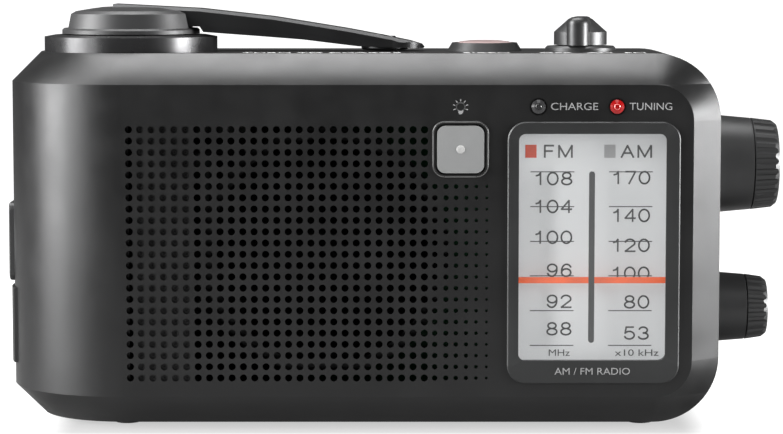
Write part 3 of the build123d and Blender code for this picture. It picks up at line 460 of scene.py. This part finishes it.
# small lens in the middle of the light button
button_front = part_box("light_button")[0][1]
bm = bmesh.new()
rings = [circle(bm, cx, BUTTON_Z * MM, r * MM, button_front - h * MM, 32)
         for r, h in ((1.15, 0.0), (1.1, 0.10), (0.8, 0.2), (0.4, 0.26))]
for a, b in zip(rings[:-1], rings[1:]):
    join(bm, a, b)
bm.faces.new(rings[-1])
bmesh.ops.recalc_face_normals(bm, faces=bm.faces)
link(mesh_object("button_lens", bm), "light_button_body", "lens_dot")

# thin pale line round the light button: a painted highlight on the chamfered edge of its hole
RIM_HALF_W, RIM_HALF_H, RIM_CORNER = 7.18, 7.23, 2.95
side, rise = RIM_HALF_W - RIM_CORNER, RIM_HALF_H - RIM_CORNER
bm = bmesh.new()
line = []
for qx, qz, a0 in ((side, rise, 0), (-side, rise, 90), (-side, -rise, 180), (side, -rise, 270)):
    line += [(cx + (qx + px) * MM, (BUTTON_Z + qz + pz) * MM)
             for px, pz in arc(0, 0, RIM_CORNER, RIM_CORNER, a0, a0 + 90, 8)]
stroke(bm, line + line[:1], 0.22 * MM, FRONT_Y - 0.00044)
link(mesh_object("button_rim_line", bm), "radio_body", "painted_highlight")

# dark rings round the indicator lamps: painted shade for the gaps of their holes
def lamp_centre(name):
    lo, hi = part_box(name)
    return (lo[0] + hi[0]) / 2, (lo[2] + hi[2]) / 2, lo[1]


SHADE_RING_R, SHADE_RING_WIDE = 2.1, 0.42
bm = bmesh.new()
for name in ("charge", "tuning"):
    mx, mz, _ = lamp_centre(name + "_led")
    stroke(bm, [(mx + px * MM, mz + pz * MM) for px, pz in arc(0, 0, SHADE_RING_R, SHADE_RING_R, 0, 360, 40)],
           SHADE_RING_WIDE * MM, FRONT_Y - 0.00004)
link(mesh_object("lamp_hole_shade_rings", bm), "radio_body", "socket")

# pale rings on the floors of the closed dimples, which are one millimetre deep: painted light falling into the
# dimples
DIMPLE_RING_R, DIMPLE_RING_WIDE, DIMPLE_RING_Y = 0.36, 0.26, FRONT_Y + 0.00094
bm = bmesh.new()
for col in DIMPLE_COLUMNS:
    for row in range(GRILLE_ROWS):
        dx, dz = (GRILLE_X0 + GRILLE_PITCH * col) * MM, (GRILLE_Z0 - GRILLE_PITCH * row) * MM
        stroke(bm, [(dx + px * MM, dz + pz * MM)
                    for px, pz in arc(0, 0, DIMPLE_RING_R, DIMPLE_RING_R, 0, 360, 14)],
               DIMPLE_RING_WIDE * MM, DIMPLE_RING_Y)
link(mesh_object("dimple_painted_light", bm), "radio_body", "painted_highlight")

# ring seen inside each indicator lamp, sloping back from its inner edge: a darker ring in the charge lamp and
# a pale painted highlight in the red lamp
RING_INNER, RING_OUTER, RING_SLOPE = 0.62, 0.88, 0.00022
for name, mat, slot in (("charge", "lamp_ring_dark", "lamp_off"), ("tuning", "lamp_ring_red_highlight", "lamp_red")):
    mx, mz, tip = lamp_centre(name + "_led")
    bm = bmesh.new()
    join(bm, circle(bm, mx, mz, RING_INNER * MM, tip - 0.00005, 40),
         circle(bm, mx, mz, RING_OUTER * MM, tip + RING_SLOPE - 0.00005, 40))
    link(mesh_object(name + "_lamp_ring", bm), "radio_body", mat)

# ------------------------------------------------------------------ floor and light
floor_mesh = bpy.data.meshes.new("floor")
FLOOR_HALF = 60.0
floor_mesh.from_pydata([(x * FLOOR_HALF, y * FLOOR_HALF, 0) for x, y in ((-1, -1), (1, -1), (1, 1), (-1, 1))],
                       [], [(0, 1, 2, 3)])
floor = bpy.data.objects.new("floor", floor_mesh)
bpy.context.scene.collection.objects.link(floor)


def by_ray(tree, lit, seen, output):
    """The camera meets one shader, and every other ray meets the other."""
    path = tree.nodes.new("ShaderNodeLightPath")
    mix = tree.nodes.new("ShaderNodeMixShader")
    tree.links.new(path.outputs["Is Camera Ray"], mix.inputs["Fac"])
    tree.links.new(lit, mix.inputs[1])
    tree.links.new(seen, mix.inputs[2])
    tree.links.new(mix.outputs["Shader"], tree.nodes[output].inputs["Surface"])


# white sheet, greyed by a painted shadow where the radio stands
SHADE_PATCH_SHIFT_X = 0.004
SHADE_PATCH_X, SHADE_PATCH_Y = (0.080, 0.093), (0.034, 0.048)   # where the patch starts to fade and where it ends
floor_mat, ft, floor_shader = nodes_of("floor")
where = ft.nodes.new("ShaderNodeSeparateXYZ")
ft.links.new(ft.nodes.new("ShaderNodeTexCoord").outputs["Object"], where.inputs["Vector"])
from_middle = maths(ft, "ABSOLUTE", maths(ft, "ADD", where.outputs["X"], SHADE_PATCH_SHIFT_X))
across = spread(ft, from_middle, *SHADE_PATCH_X, 1, 0, smooth=True)
along = spread(ft, maths(ft, "ABSOLUTE", where.outputs["Y"]), *SHADE_PATCH_Y, 1, 0, smooth=True)
shade_and_glow_mask = maths(ft, "MULTIPLY", across, along)
# painted shadow: the floor's glow drops inside the mask under the radio
sheet = maths(ft, "SUBTRACT", 1.15, maths(ft, "MULTIPLY", shade_and_glow_mask, 0.60))
sheet = maths(ft, "ADD", sheet, maths(ft, "MULTIPLY", noise(ft, 3, 2).outputs["Fac"], 0.02))
for key, value in (("Base Color", (0.10, 0.10, 0.10, 1)), ("Roughness", 0.7), ("Specular IOR Level", 0.1),
                   ("Emission Color", (1, 1, 1, 1))):
    floor_shader.inputs[key].default_value = value
ft.links.new(sheet, floor_shader.inputs["Emission Strength"])

# what the radio's own gloss and shadows meet: a dim floor, brighter towards the back, with painted light
# glowing under the radio
dim = ft.nodes.new("ShaderNodeBsdfPrincipled")
ft.links.new(spread(ft, where.outputs["Y"], -0.70, -0.10, 0.04, 0.25, smooth=True), dim.inputs["Base Color"])
for key, value in (("Roughness", 0.9), ("Specular IOR Level", 0.0), ("Emission Color", (1, 1, 1, 1))):
    dim.inputs[key].default_value = value
# painted light: the dim floor glows under the radio so the bottom bevels reflect something brighter
ft.links.new(maths(ft, "MULTIPLY", shade_and_glow_mask, 0.16), dim.inputs["Emission Strength"])
by_ray(ft, dim.outputs["BSDF"], floor_shader.outputs["BSDF"], "Material Output")
floor.data.materials.append(floor_mat)

# the room: dim for lighting, white behind the radio
world = bpy.data.worlds.new("studio")
bpy.context.scene.world = world
world.use_nodes = True
wt = world.node_tree
room = wt.nodes["Background"]
room.inputs["Color"].default_value = (1, 1, 1, 1)
room.inputs["Strength"].default_value = 0.07
backdrop = wt.nodes.new("ShaderNodeBackground")
backdrop.inputs["Strength"].default_value = 1.3
by_ray(wt, room.outputs["Background"], backdrop.outputs["Background"], "World Output")


def softbox(name, at, aim, size, power, size_y=None):
    data = bpy.data.lights.new(name, "AREA")
    data.shape = "RECTANGLE"
    data.size = size
    data.size_y = size_y or size
    data.energy = power
    obj = bpy.data.objects.new(name, data)
    obj.location = at
    obj.rotation_euler = (Vector(aim) - Vector(at)).to_track_quat("-Z", "Y").to_euler()
    bpy.context.scene.collection.objects.link(obj)


softbox("top", (-0.06, 0.08, 0.75), (-0.06, 0, 0.06), 0.60, 6.9, 0.42)
softbox("left", (-0.75, -0.20, 0.30), (-0.07, 0, 0.05), 0.38, 15.5, 0.7)
softbox("left front", (-0.60, -0.45, 0.25), (-0.07, 0, 0.05), 0.22, 2.6, 0.6)
softbox("right", (0.78, -0.18, 0.13), (0.08, 0, 0.05), 0.36, 14.0, 0.24)
softbox("left high", (-0.52, -0.08, 0.62), (-0.06, 0, 0.06), 0.35, 2.0, 0.42)
softbox("fill", (0.1, -1.0, 1.1), (0, 0, 0.05), 0.6, 1.3, 0.4)

bpy.context.scene.view_settings.view_transform = "Standard"
